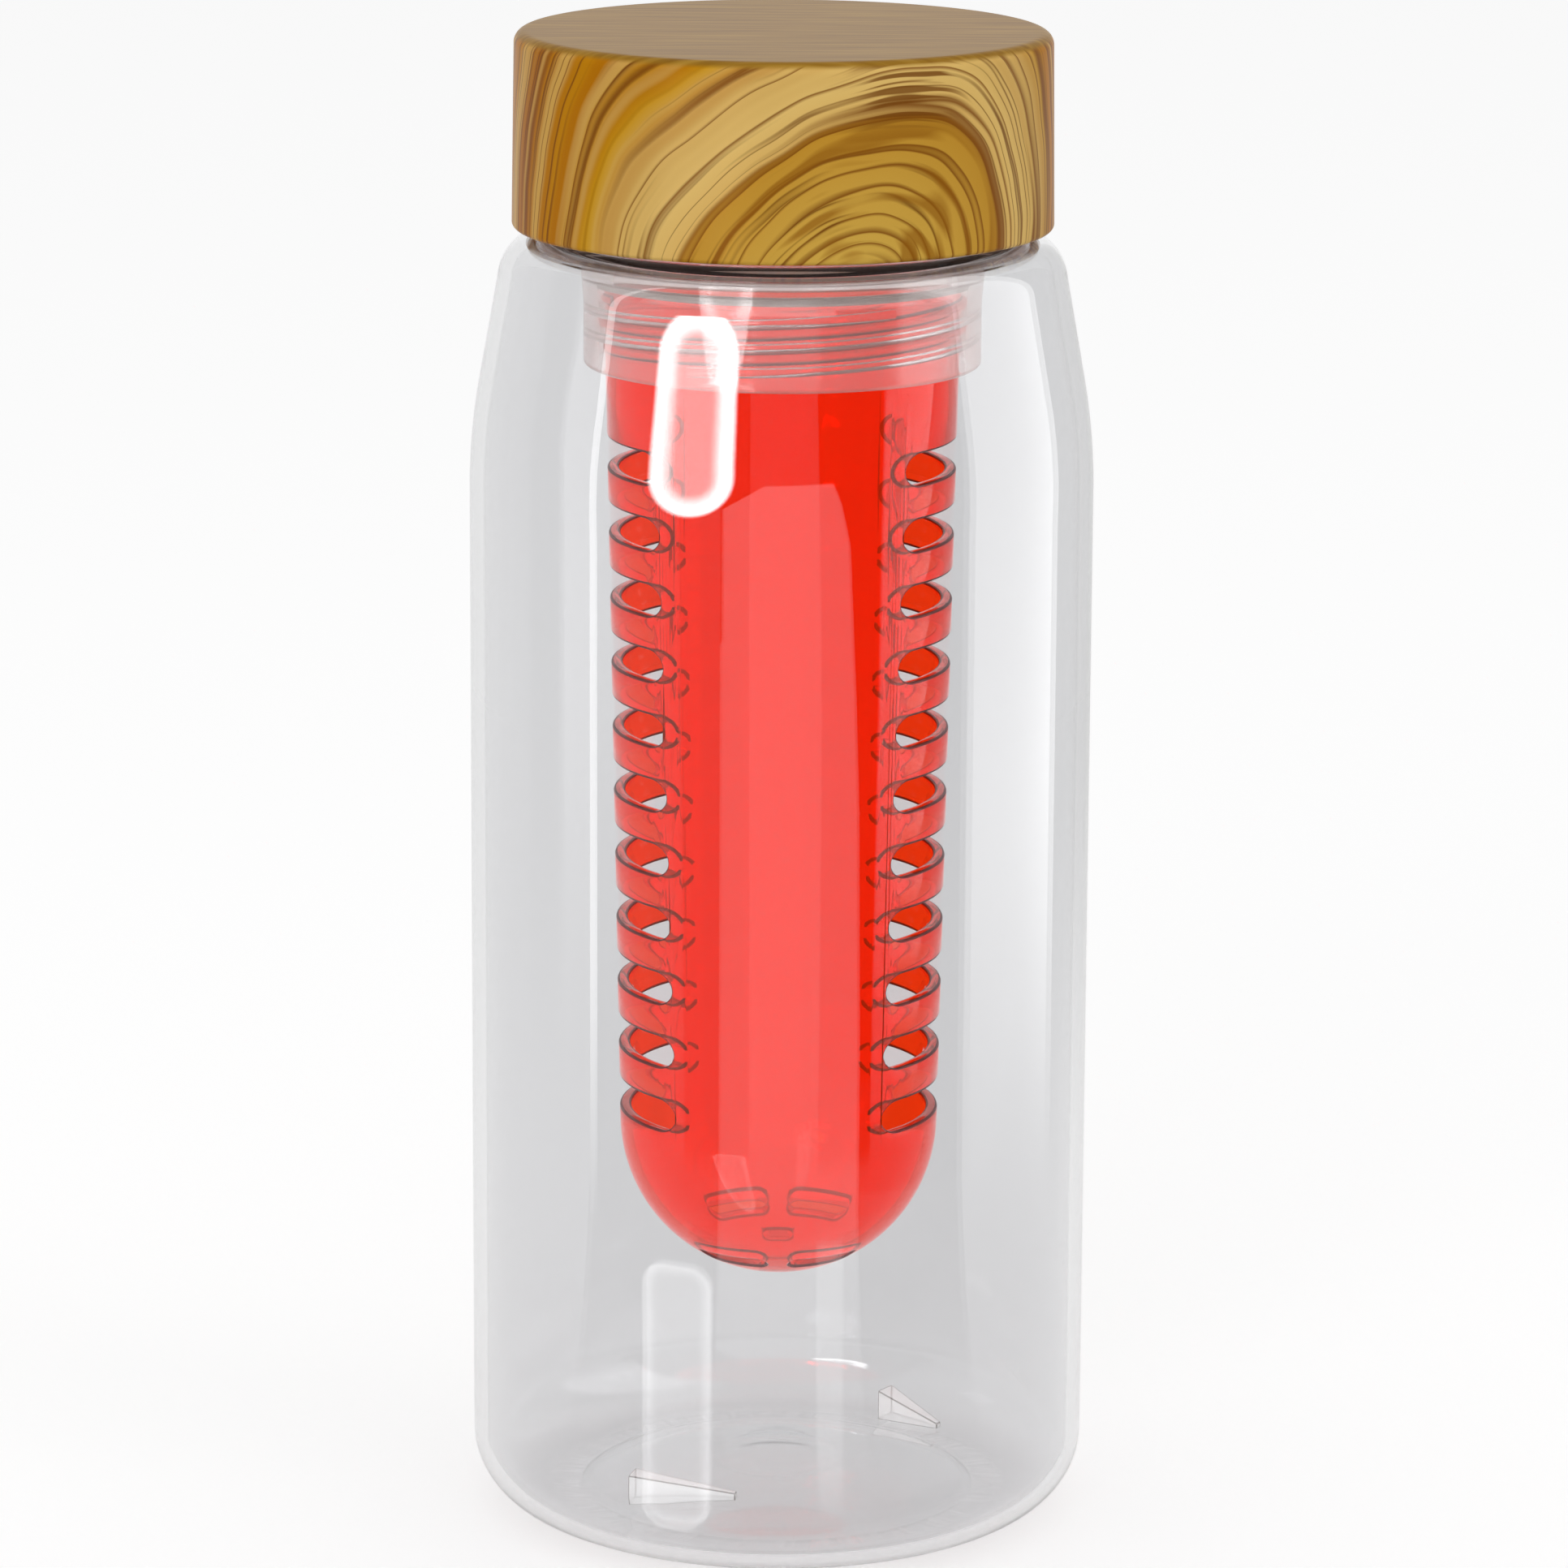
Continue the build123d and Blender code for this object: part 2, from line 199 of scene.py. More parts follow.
DRAIN_OVERRUN = 1.0             # below the infuser's bottom
DRAIN_TIP = 0.02                # share that keeps a drain's round ends from closing


def deselect():
    bpy.ops.object.select_all(action="DESELECT")


def select_only(piece):
    deselect()
    piece.select_set(True)
    bpy.context.view_layer.objects.active = piece


# Outlines, as lists of (radius, height) in millimetres


def arc(centre, radius, first, last):
    """Points of an arc. Angles are in degrees, anticlockwise from outwards."""
    turn = abs(last - first)
    count = max(3, ceil(turn / ARC_TURN), ceil(radians(turn) * radius / ARC_CHORD))
    angles = [radians(first + (last - first) * i / count) for i in range(count + 1)]
    return [(centre[0] + radius * cos(a), centre[1] + radius * sin(a)) for a in angles]


def rounded(corners):
    """Outline through (radius, height, rounding) corners. The first and last stay sharp."""
    points = [corners[0][:2]]
    for before, corner, after in zip(corners, corners[1:], corners[2:]):
        here = Vector(corner[:2])
        rounding = corner[2]
        if not rounding:
            points.append(corner[:2])
            continue
        back = (Vector(before[:2]) - here).normalized()
        ahead = (Vector(after[:2]) - here).normalized()
        half = acos(max(-1, min(1, back.dot(ahead)))) / 2
        centre = here + (back + ahead).normalized() * (rounding / sin(half))
        start = here + back * (rounding / tan(half)) - centre
        end = here + ahead * (rounding / tan(half)) - centre
        count = max(3, ceil((180 - 2 * half * 180 / pi) / ARC_TURN))
        for i in range(count + 1):
            spoke = start.slerp(end, i / count)     # of unit length
            points.append(tuple(centre + spoke * rounding))
    points.append(corners[-1][:2])
    return points


def braced(outline):
    """The outline with a point close to each end of its long straight stretches.

    Without them the rounded parts beside a stretch would bend the light along all of it."""
    points = [outline[0]]
    for start, end in zip(outline, outline[1:]):
        first, last = Vector(start), Vector(end)
        length = (last - first).length
        if length > 4 * BRACE:
            points.append(tuple(first.lerp(last, BRACE / length)))
            points.append(tuple(first.lerp(last, 1 - BRACE / length)))
        points.append(end)
    return points


def turned(name, outline, steps=PLAIN_TURN):
    """Draws the outline by extruding a point along it, and spins it into a closed body."""
    deselect()
    outline = braced(outline)
    radius, height = outline[0]
    bpy.ops.mesh.primitive_plane_add(size=MM)
    piece = bpy.context.object
    piece.name = name
    piece.data.name = name
    bpy.ops.object.mode_set(mode="EDIT")
    bpy.ops.mesh.select_mode(type="VERT")
    bpy.ops.mesh.select_all(action="SELECT")
    bpy.ops.mesh.merge(type="CENTER")
    bpy.ops.transform.translate(value=(radius * MM, 0, height * MM))
    for start, end in zip(outline, outline[1:]):
        move = ((end[0] - start[0]) * MM, 0, (end[1] - start[1]) * MM)
        bpy.ops.mesh.extrude_region_move(TRANSFORM_OT_translate={"value": move})
    bpy.ops.mesh.select_all(action="SELECT")
    bpy.ops.mesh.spin(steps=steps, dupli=False, angle=2 * pi, center=(0, 0, 0), axis=(0, 0, 1))
    bpy.ops.mesh.select_all(action="SELECT")
    bpy.ops.mesh.remove_doubles(threshold=SAME_POINT)
    bpy.ops.mesh.normals_make_consistent(inside=False)
    bpy.ops.object.mode_set(mode="OBJECT")
    return piece


def bar(name, stations):
    """A straight four-sided bar, extruded one station at a time along X."""
    deselect()
    bpy.ops.mesh.primitive_plane_add(size=2, rotation=(0, pi / 2, 0))
    piece = bpy.context.object
    piece.name = name
    bpy.ops.object.transform_apply(location=True, rotation=True, scale=True)
    bpy.ops.object.mode_set(mode="EDIT")
    bpy.ops.mesh.select_mode(type="FACE")
    bpy.ops.mesh.select_all(action="SELECT")
    for _ in range(stations):
        bpy.ops.mesh.extrude_region_move(TRANSFORM_OT_translate={"value": (1, 0, 0)})
    bpy.ops.object.mode_set(mode="OBJECT")
    return piece


def wrap(piece, place):
    """Moves each corner of a bar to place(station, outer, upper), in millimetres."""
    for vertex in piece.data.vertices:
        station = round(vertex.co.x)
        vertex.co = Vector(place(station, vertex.co.y > 0, vertex.co.z > 0)) * MM
    select_only(piece)
    bpy.ops.object.mode_set(mode="EDIT")
    bpy.ops.mesh.select_all(action="SELECT")
    bpy.ops.mesh.normals_make_consistent(inside=False)
    bpy.ops.object.mode_set(mode="OBJECT")


def around(radius, angle, height):
    return (radius * cos(radians(angle)), radius * sin(radians(angle)), height)


def thread(name, root, crest, pitch, phase, low, high):
    """The ridges of a two-start thread, which rise out of the wall and fade at both ends."""
    lead = pitch * THREAD_STARTS
    first = 360 * (low - phase) / lead
    last = first + 360 * (high - low) / lead
    count = ceil((last - first) / RIDGE_STEP)
    bite = RIDGE_BITE if crest < root else -RIDGE_BITE
    ridges = []
    for start in range(THREAD_STARTS):
        shift = -360 * start / THREAD_STARTS

        def place(station, outer, upper):
            angle = first + (last - first) * station / count
            from_end = min(angle - first, last - angle)
            full = min(1, RIDGE_START + from_end / RIDGE_FADE)
            half_root = pitch * RIDGE_ROOT
            half_tip = half_root + (pitch * RIDGE_TIP - half_root) * full
            radius = root + (crest - root) * full if outer else root + bite
            half = half_tip if outer else half_root
            height = phase + lead * angle / 360 + (half if upper else -half)
            return around(radius, angle + shift, height)

        ridge = bar(name + "_ridge", count)
        wrap(ridge, place)
        soften(ridge, RIDGE_EDGE, segments=3)
        ridges.append(ridge)
    return ridges


def apply_modifier(piece, kind, **settings):
    select_only(piece)
    modifier = piece.modifiers.new(kind.lower(), kind)
    for key, value in settings.items():
        setattr(modifier, key, value)
    bpy.ops.object.modifier_apply(modifier=modifier.name)


def soften(piece, width, segments, angle=30, clamp=True, material=-1):
    """Rounds the sharp edges of a piece. The new faces can have a material of their own."""
    apply_modifier(
        piece, "BEVEL", width=width * MM, segments=segments, limit_method="ANGLE",
        angle_limit=radians(angle), use_clamp_overlap=clamp, material=material,
    )


def combine(piece, tools, operation):
    """Joins the tools, which don't touch each other, to the piece, or cuts it with them."""
    deselect()
    for tool in tools:
        tool.select_set(True)
    bpy.context.view_layer.objects.active = tools[0]
    if len(tools) > 1:
        bpy.ops.object.join()
    apply_modifier(piece, "BOOLEAN", object=tools[0], operation=operation, solver="MANIFOLD")
    bpy.data.objects.remove(tools[0])


def smooth(piece):
    select_only(piece)
    bpy.ops.object.shade_smooth_by_angle(angle=CREASE, keep_sharp_edges=False)


def coat(piece, *materials):
    """Gives a piece its materials, in place of the empty ones that booleans leave."""
    piece.data.materials.clear()
    for material in materials:
        piece.data.materials.append(material)


def dress(piece, body, slot, material, *nodes):
    """Gives a finished piece its body, and hides the CAD nodes that it replaces.

    The slot is not used. The material is None for a piece that already has its own."""
    smooth(piece)
    if material:
        coat(piece, material)
    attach(piece, body)
    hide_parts(*nodes)


# Materials

MATH = "ShaderNodeMath"
VECTOR_MATH = "ShaderNodeVectorMath"
MAP_RANGE = "ShaderNodeMapRange"
NOISE = "ShaderNodeTexNoise"
RAMP = "ShaderNodeValToRGB"
PRINCIPLED = "ShaderNodeBsdfPrincipled"
OUTPUT = "ShaderNodeOutputMaterial"
SMOOTHLY = {"interpolation_type": "SMOOTHSTEP"}
WHITE = (1, 1, 1, 1)


def colour(code):
    """Linear colour of an sRGB hex value."""
    channels = [int(code[i:i + 2], 16) / 255 for i in (0, 2, 4)]
    return tuple(
        c / 12.92 if c <= 0.04045 else ((c + 0.055) / 1.055) ** 2.4 for c in channels
    ) + (1,)


def node(tree, kind, settings=None, inputs=None, stops=()):
    """Adds a node. A node that is given as an input stands for its first output.

    Stops are for a colour ramp: positions, each with a hex value or a grey."""
    new = tree.nodes.new(kind)
    for key, value in (settings or {}).items():
        setattr(new, key, value)
    for key, value in (inputs or {}).items():
        if isinstance(value, bpy.types.Node):
            value = value.outputs[0]
        if isinstance(value, bpy.types.NodeSocket):
            tree.links.new(value, new.inputs[key])
        else:
            new.inputs[key].default_value = value
    if stops:
        elements = new.color_ramp.elements
        while len(elements) < len(stops):
            elements.new(0.5)
        for element, (position, value) in zip(elements, stops):
            element.position = position
            element.color = colour(value) if isinstance(value, str) else (value, value, value, 1)
    return new


def new_material(name):
    material = bpy.data.materials.new(name)
    material.use_nodes = True
    material.node_tree.nodes.clear()
    return material, material.node_tree


def make_clear_copolyester():
    """Blow-moulded copolyester: glassy, with a trace of grey where light crosses its skin."""
    material, tree = new_material("clear_copolyester")
    shader = node(
        tree, PRINCIPLED, {},
        {
            "Base Color": colour("E9E9EA"), "Roughness": 0.012, "IOR": 1.5,
            "Transmission Weight": 1.0,
        },
    )
    node(tree, OUTPUT, {}, {"Surface": shader})
    return material


def make_lug_glint_materials():
    """The faces and the rounded edges of the mould lugs: a painted pale glint on a see-through
    wedge, with a painted dark outline on its edges.
    """
    materials = []
    # Painted light: the glowing white faces are a painted glint, the dark edges a painted dark
    # outline
    for name, code, share in (
        ("copolyester_lug_painted_glint", "FFFFFF", 0.55), ("copolyester_lug_painted_outline", "6A5A50", 0.55),
    ):
        material, tree = new_material(name)
        shader = node(
            tree, PRINCIPLED, {},
            {
                "Base Color": colour(code), "Roughness": 0.3, "IOR": 1.2, "Alpha": share,
                "Emission Color": colour(code), "Emission Strength": 0.3,
            },
        )
        node(tree, OUTPUT, {}, {"Surface": shader})
        materials.append(material)
    return materials


def make_red_styrene():
    """Injection-moulded clear red plastic: glossy, and redder the more of it light crosses.

    It has a faint painted glow, which stands in for the light that its dye throws back."""
    material, tree = new_material("clear_red_styrene")
    place = node(tree, "ShaderNodeTexCoord").outputs["Object"]
    flow = node(tree, NOISE, {}, {"Vector": place, "Scale": 1 / (12 * MM), "Detail": 1.0})
    bump = node(
        tree, "ShaderNodeBump", {}, {"Strength": 0.08, "Distance": 0.3 * MM, "Height": flow}
    )
    shader = node(
        tree, PRINCIPLED, {},
        {
            "Base Color": colour("FF4A14"), "Roughness": 0.02, "IOR": 1.5,
            "Transmission Weight": 0.96, "Normal": bump,
            # Painted glow: a faint orange emission that brightens the red
            "Emission Color": colour("FF5400"), "Emission Strength": 0.15,
        },
    )
    dye = node(
        tree, "ShaderNodeVolumeAbsorption", {}, {"Color": colour("F48A48"), "Density": 500.0}
    )
    node(tree, OUTPUT, {}, {"Surface": shader, "Volume": dye})
    return material


def make_red_painted_dark_edges():
    """Painted shade on the slots' rounded edges: a dark, less see-through red, for the dark line
    that the real red shows where it bends the light away.
    """
    material, tree = new_material("clear_red_styrene_painted_dark_edges")
    shader = node(
        tree, PRINCIPLED, {},
        {
            "Base Color": colour("5A0C04"), "Roughness": 0.3, "IOR": 1.45,
            "Transmission Weight": 0.35,
        },
    )
    node(tree, OUTPUT, {}, {"Surface": shader})
    return material


def make_natural_polypropylene():
    """Natural polypropylene: milky, half see-through, with the soft gloss of a moulded part.

    It has a faint painted glow, which stands in for the light that the milky plastic carries
    inside it from all sides."""
    material, tree = new_material("natural_polypropylene")
    place = node(tree, "ShaderNodeTexCoord").outputs["Object"]
    cloud = node(tree, NOISE, {}, {"Vector": place, "Scale": 1 / (6 * MM), "Detail": 3.0})
    rough = node(tree, RAMP, {}, {"Fac": cloud}, [(0.3, 0.012), (0.7, 0.02)])
    clear = node(
        tree, PRINCIPLED, {},
        {
            "Base Color": colour("FFFDFC"), "Roughness": rough, "IOR": 1.49,
            "Transmission Weight": 0.93,
            # Painted glow: a faint pinkish-white emission
            "Emission Color": colour("FFE6DE"), "Emission Strength": 0.055,
        },
    )
    # The milky share, which spreads the light that comes through it
    milk = node(
        tree, PRINCIPLED, {},
        {
            "Base Color": colour("FFFDFC"), "Roughness": 0.5, "IOR": 1.3,
            "Transmission Weight": 0.85,
            # The same painted glow in the milky share
            "Emission Color": colour("FFE6DE"), "Emission Strength": 0.055,
        },
    )
    shader = node(tree, "ShaderNodeMixShader", {}, {0: 0.14, 1: clear, 2: milk})
    node(tree, OUTPUT, {}, {"Surface": shader})
    return material


def make_silicone():
    """White silicone rubber: soft, with a dull sheen and fine mould grain."""
    material, tree = new_material("white_silicone")
    place = node(tree, "ShaderNodeTexCoord").outputs["Object"]
    grain = node(tree, NOISE, {}, {"Vector": place, "Scale": 1 / (0.5 * MM), "Detail": 2.0})
    bump = node(
        tree, "ShaderNodeBump", {}, {"Strength": 0.15, "Distance": 0.05 * MM, "Height": grain}
    )
    tone = node(tree, RAMP, {}, {"Fac": grain}, [(0.35, "DEDED9"), (0.65, "E7E7E3")])
    shader = node(
        tree, PRINCIPLED, {}, {"Base Color": tone, "Roughness": 0.5, "IOR": 1.41, "Normal": bump}
    )
    node(tree, OUTPUT, {}, {"Surface": shader})
    return material


def make_wood_print():
    """Wood grain printed on satin plastic: rings of a sawn log on the side, straight on top."""
    material, tree = new_material("wood_print_on_satin_abs")
    place = node(tree, "ShaderNodeTexCoord").outputs["Object"]
    millimetres = node(tree, VECTOR_MATH, {"operation": "SCALE"}, {0: place, "Scale": 1 / MM})
    x, y, z = node(tree, "ShaderNodeSeparateXYZ", {}, {0: millimetres}).outputs

    # The log's heart: how far round the lid from the front, and how high, in millimetres
    heart_across = 7.6
    heart_height = 162.5
    lean = 0.30                     # of the rings, as a share of their height
    squash = 0.86                   # height of a ring on the print, as a share of its width
    sway_length = 24                # mm
    sway_reach = 1.1                # mm
    colour_run = 52.0               # mm from the heart, after which the colours run back

    sway = node(
        tree, NOISE, {}, {"Vector": millimetres, "Scale": 1 / sway_length, "Detail": 2.0}
    )
    sway_axes = node(tree, "ShaderNodeSeparateColor", {}, {0: sway.outputs["Color"]}).outputs

    def swayed(length, axis):
        """Shifts a length by up to about sway_reach each way, which makes the rings uneven."""
        shift = node(
            tree, MATH, {"operation": "MULTIPLY_ADD"},
            {0: sway_axes[axis], 1: 4 * sway_reach, 2: -2 * sway_reach},
        )
        return node(tree, MATH, {"operation": "ADD"}, {0: length, 1: shift})

    # Each point's place from the heart, along the lid's side and up
    forward = node(tree, MATH, {"operation": "MULTIPLY"}, {0: y, 1: -1.0})
    azimuth = node(tree, MATH, {"operation": "ARCTAN2"}, {0: x, 1: forward})
    up = node(tree, MATH, {"operation": "SUBTRACT"}, {0: z, 1: heart_height})
    up = swayed(up, 1)
    along = node(
        tree, MATH, {"operation": "MULTIPLY_ADD"}, {0: azimuth, 1: SHELL_RADIUS, 2: -heart_across}
    )
    # The rings lean to the right, but for the ones far out on the left, which stand upright
    tilt = node(
        tree, MAP_RANGE, SMOOTHLY,
        {"Value": along, "From Min": -36.0, "From Max": -6.0, "To Min": 0.0, "To Max": -lean},
    )
    along = node(tree, MATH, {"operation": "MULTIPLY_ADD"}, {0: up, 1: tilt, 2: along})
    along = swayed(along, 0)
    up = node(tree, MATH, {"operation": "MULTIPLY"}, {0: up, 1: squash})
    along_squared = node(tree, MATH, {"operation": "MULTIPLY"}, {0: along, 1: along})
    squares = node(tree, MATH, {"operation": "MULTIPLY_ADD"}, {0: up, 1: up, 2: along_squared})
    distance = node(tree, MATH, {"operation": "SQRT"}, {0: squares})
    bearing = node(tree, MATH, {"operation": "ARCTAN2"}, {0: up, 1: along})

    def grain(streak_width, streaks_per_radian, detail, shift):
        """Noise that runs along the rings. The width is in millimetres, across them."""
        across = node(
            tree, MATH, {"operation": "MULTIPLY_ADD"}, {0: distance, 1: 1 / streak_width, 2: shift}
        )
        round_heart = node(
            tree, MATH, {"operation": "MULTIPLY"}, {0: bearing, 1: streaks_per_radian}
        )
        spot = node(tree, "ShaderNodeCombineXYZ", {}, {0: across, 1: round_heart, 2: shift})
        return node(tree, NOISE, {}, {"Vector": spot, "Scale": 1.0, "Detail": detail})

    def window(value, low, high, soft):
        """1 where the value lies between low and high, with soft ends."""
        rise = node(
            tree, MAP_RANGE, SMOOTHLY,
            {"Value": value, "From Min": low - soft, "From Max": low + soft},
        )
        fall = node(
            tree, MAP_RANGE, SMOOTHLY,
            {
                "Value": value, "From Min": high - soft, "From Max": high + soft,
                "To Min": 1.0, "To Max": 0.0,
            },
        )
        return node(tree, MATH, {"operation": "MULTIPLY"}, {0: rise, 1: fall})

    def streaks(noise, stops, where=None):
        """A mask of the noise that the stops pick out, within another mask if one is given."""
        mask = node(tree, RAMP, {}, {"Fac": noise}, stops)
        if where is None:
            return mask
        return node(tree, MATH, {"operation": "MULTIPLY"}, {0: mask, 1: where})

    def paint(under, mask, strength, code):
        """Lays a colour over the wood where the mask is bright."""
        share = node(
            tree, MATH, {"operation": "MULTIPLY", "use_clamp": True}, {0: mask, 1: strength}
        )
        return node(
            tree, "ShaderNodeMix", {"data_type": "RGBA"},
            {"Factor": share, 6: under, 7: colour(code)},
        ).outputs[2]

    out_and_back = node(tree, MATH, {"operation": "PINGPONG"}, {0: distance, 1: colour_run})
    share = node(tree, MATH, {"operation": "DIVIDE"}, {0: out_and_back, 1: colour_run})
    wood = node(
        tree, RAMP, {}, {"Fac": share},
        [
            (0.00, "D4AC52"), (0.16, "D2A848"), (0.28, "CEA040"), (0.405, "C4902E"),
            (0.420, "96601C"), (0.430, "DEB464"), (0.50, "E6C070"), (0.62, "DAB060"),
            (0.68, "CE9618"), (0.80, "BC7804"), (0.90, "CC8E0C"), (1.00, "AC6600"),
        ],
    )
    # Bands of darker and lighter wood, outside the heart only
    outer = window(distance, 29.0, 200.0, 3.0)
    dark = streaks(grain(3.0, 0.25, 2.0, 3.1), [(0.40, 0.0), (0.60, 1.0)], outer)
    wood = paint(wood, dark, 0.6, "B26A04")
    pale = streaks(grain(2.3, 0.30, 1.0, 21.4), [(0.50, 0.0), (0.66, 1.0)], outer)
    wood = paint(wood, pale, 0.5, "E2BE70")
    # Growth rings: thin lines, crisp on their outer side and faded on the other
    rings = streaks(
        grain(2.4, 0.16, 0.5, 0.0), [(0.425, 0.0), (0.495, 1.0), (0.52, 0.0), (0.6, 0.0)]
    )
    wood = paint(wood, rings, 0.9, "7C430A")
    patches = streaks(grain(5.0, 0.9, 1.0, 7.7), [(0.42, 0.0), (0.60, 1.0)])
    fine_rings = streaks(
        grain(1.3, 0.22, 0.5, 5.3), [(0.43, 0.0), (0.49, 1.0), (0.54, 0.0), (0.6, 0.0)], patches
    )
    wood = paint(wood, fine_rings, 0.9, "6F3C0A")
    # The heart's own rings are broader and broken into long brown strokes
    heart = window(distance, 6.0, 21.0, 1.5)
    heart_rings = streaks(grain(2.2, 0.9, 1.0, 31.0), [(0.52, 0.0), (0.62, 1.0)], heart)
    wood = paint(wood, heart_rings, 0.7, "935A0C")
    # Short dark strokes in a bundle, above the heart
    bundle = node(
        tree, MATH, {"operation": "MULTIPLY"},
        {0: window(distance, 21.0, 29.0, 1.2), 1: window(bearing, 1.22, 1.86, 0.16)},
    )
    strokes = streaks(grain(0.62, 1.5, 1.0, 11.0), [(0.52, 0.0), (0.60, 1.0)], bundle)
    wood = paint(wood, strokes, 0.85, "7A4610")

    # Top: straight grain from left to right, in streaks about 20 mm long and 1.1 mm wide. The
    # grain is the print's; its darker tone than the side's is painted shade, for the top that gets
    # less light.
    flat = node(
        tree, "ShaderNodeMapping", {}, {"Vector": millimetres, "Scale": (0.05, 0.9, 0.0)}
    )
    top_grain = node(tree, NOISE, {}, {"Vector": flat, "Scale": 1.0, "Detail": 5.0})
    top_wood_and_shade = node(
        tree, RAMP, {}, {"Fac": top_grain}, [(0.3, "8C6218"), (0.5, "9E7424"), (0.7, "B08632")]
    )
    level = node(
        tree, MAP_RANGE, SMOOTHLY,
        {"Value": z, "From Min": LID_TOP - 1.0, "From Max": LID_TOP - 0.3},
    )
    print_colour = node(
        tree, "ShaderNodeMix", {"data_type": "RGBA"}, {"Factor": level, 6: wood, 7: top_wood_and_shade}
    ).outputs[2]
    shader = node(
        tree, PRINCIPLED, {},
        {
            "Base Color": print_colour, "Roughness": 0.3, "IOR": 1.5,
            "Specular IOR Level": 0.03,
        },
    )
    node(tree, OUTPUT, {}, {"Surface": shader})
    return material


# Pieces


def make_bottle(*materials):
    """The bottle, with two more materials, a painted glint and a painted dark outline, on the lugs
    that are set into its floor.
    """
    arc_centre = (BODY_RADIUS - SHOULDER_ARC, STRAIGHT_TOP)
    slope_cos = cos(radians(SHOULDER_SLOPE))
    slope_sin = sin(radians(SHOULDER_SLOPE))
    slope_end = (
        arc_centre[0] + SHOULDER_ARC * slope_cos - SHOULDER_RUN * slope_sin,
        arc_centre[1] + SHOULDER_ARC * slope_sin + SHOULDER_RUN * slope_cos,
    )
    corner = (
        slope_end[0] - SHOULDER_CORNER * slope_cos,
        slope_end[1] - SHOULDER_CORNER * slope_sin,
    )
    shoulder_top = corner[1] + SHOULDER_CORNER
    heel = (BODY_RADIUS - HEEL_RADIUS, HEEL_RADIUS)
    foot_inner = BODY_RADIUS - HEEL_RADIUS - FOOT_RING
    outline = [(0, PUSH_UP + DIMPLE_DEPTH)]
    for i in range(BASE_STEPS + 1):
        rise = DIMPLE_DEPTH * (1 + cos(pi * i / BASE_STEPS)) / 2
        outline.append((DIMPLE_RADIUS - DIMPLE_SLOPE * (1 - i / BASE_STEPS), PUSH_UP + rise))
    outline += crown(DIMPLE_RADIUS, foot_inner, PUSH_UP, 0.0)[1:]
    outline += arc(heel, HEEL_RADIUS, -90, 0)
    outline += arc(arc_centre, SHOULDER_ARC, 0, SHOULDER_SLOPE)
    outline += arc(corner, SHOULDER_CORNER, SHOULDER_SLOPE, 90)
    outline += rounded(
        [
            (corner[0], shoulder_top, 0),
            (NECK_RADIUS, shoulder_top, NECK_EDGE),
            (NECK_RADIUS, NECK_RIM, NECK_EDGE),
            (NECK_BORE, NECK_RIM, NECK_EDGE),
            (NECK_BORE, shoulder_top - BODY_WALL, NECK_EDGE),
            (corner[0], shoulder_top - BODY_WALL, 0),
        ]
    )[1:]
    outline += arc(corner, SHOULDER_CORNER - BODY_WALL, 90, SHOULDER_SLOPE)[1:]
    outline += arc(arc_centre, SHOULDER_ARC - BODY_WALL, SHOULDER_SLOPE, 0)
    outline += arc(heel, HEEL_RADIUS - BODY_WALL, 0, -90)
    floor_top = PUSH_UP + FLOOR_THICK
    outline += crown(foot_inner, DIMPLE_RADIUS, BODY_WALL, floor_top)
    outline.append((0, floor_top))
    piece = turned("clear_bottle", outline, FINE_TURN)
    top = NECK_THREAD_TOP
    low = top - NECK_THREAD_HEIGHT
    ridges = thread("neck", NECK_RADIUS, NECK_CREST, NECK_PITCH, top, low, top)
    combine(piece, ridges, "UNION")
    coat(piece, *materials)
    lugs = [lug(*values, materials) for values in LUGS]
    deselect()
    for wedge in lugs:
        wedge.select_set(True)
    piece.select_set(True)
    bpy.context.view_layer.objects.active = piece
    bpy.ops.object.join()
    return piece


def lug(place, wide_end, thin_end, length, turn, materials):
    """A small wedge that the mould leaves on the bottle's floor.

    Each end is given by its foot, which lies just under the floor, and its top. The wedge is
    its own closed shell in the bottle's mesh."""
    deselect()
    bpy.ops.mesh.primitive_cube_add(size=1)
    piece = bpy.context.object
    for vertex in piece.data.vertices:
        foot, top = thin_end if vertex.co.x > 0 else wide_end
        width = LUG_THIN if vertex.co.x > 0 else LUG_WIDE
        height = top if vertex.co.z > 0 else foot
        vertex.co = Vector((vertex.co.x * length, vertex.co.y * width, height)) * MM
    coat(piece, *materials)
    for face in piece.data.polygons:
        face.material_index = LUG_FACES
    soften(piece, LUG_EDGE, segments=2, material=LUG_EDGES)
    piece.rotation_euler = (0, 0, radians(turn))
    piece.location = (place[0] * MM, place[1] * MM, 0)
    bpy.ops.object.transform_apply(location=True, rotation=True, scale=True)
    return piece


def crown(first_radius, last_radius, first_height, last_height):
    """Points of the pushed-up base, which bulges between its ring and its dimple."""
    points = []
    for i in range(BASE_STEPS + 1):
        t = i / BASE_STEPS
        bulge = (PUSH_UP_SHARE - 0.5) * 4 * t * (1 - t) * abs(last_height - first_height)
        height = first_height + (last_height - first_height) * t + bulge
        points.append((first_radius + (last_radius - first_radius) * t, height))
    return points


def make_shell():
    return turned(
        "wood_look_lid",
        rounded(
            [
                (0, LINER_TOP, 0),
                (SHELL_BORE, LINER_TOP, SHELL_CORNER),
                (SHELL_BORE, SHELL_FOOT, SHELL_LIP),
                (SHELL_RADIUS, SHELL_FOOT, SHELL_FOOT_EDGE),
                (SHELL_RADIUS - SHELL_TAPER, LID_TOP, SHELL_EDGE),
                (0, LID_TOP, 0),
            ]
        ),
        FINE_TURN,
    )


